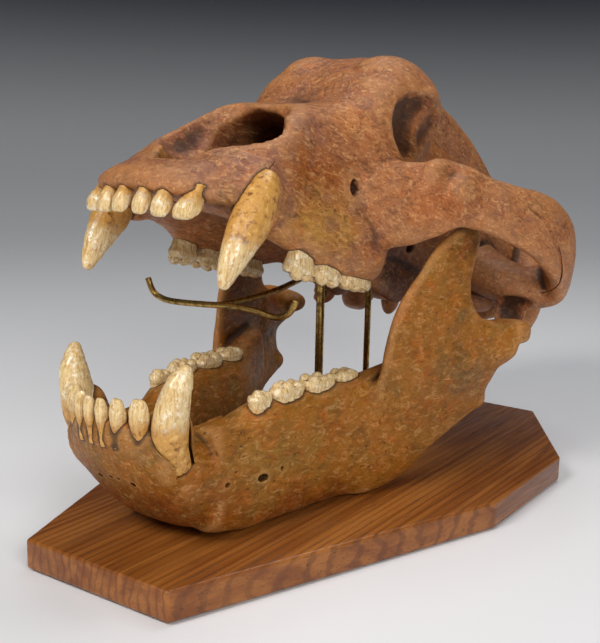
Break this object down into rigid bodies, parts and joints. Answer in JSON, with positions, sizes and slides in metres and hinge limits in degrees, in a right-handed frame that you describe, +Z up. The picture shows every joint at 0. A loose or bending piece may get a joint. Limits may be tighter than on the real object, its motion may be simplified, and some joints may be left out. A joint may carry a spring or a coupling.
{
  "type": "cave bear skull",
  "caption": "Life-size cave bear skull with its jaw open, held on brass rods over an eight-sided wooden base.",
  "frame": {"origin": "centre of the wooden base's underside", "axes": "+Y from the snout to the back of the head, +X to the animal's left, +Z up"},
  "size_m": [0.284, 0.5111, 0.3134],
  "materials": {
    "cranium_bone": "old bone, mauve-tan with ochre patches, dry with a faint wax sheen",
    "jaw_bone": "old bone, ochre and orange brown, dry with a faint wax sheen",
    "base_wood": "stained oak, satin varnish",
    "aged_brass": "dull antique brass"
  },
  "bodies": {
    "root": {"muzzle_left": "cranium_bone", "muzzle_right": "cranium_bone", "forehead_left": "cranium_bone", "forehead_right": "cranium_bone", "braincase_left": "cranium_bone", "braincase_right": "cranium_bone", "cheek_arch_left": "cranium_bone", "cheek_arch_right": "cranium_bone", "jaw_left": "jaw_bone", "jaw_right": "jaw_bone", "stand_board": "base_wood", "stand_rod_front": "aged_brass", "stand_rod_back": "aged_brass", "stand_arm": "aged_brass", "stand_cradle": "aged_brass"}
  },
  "joints": []
}
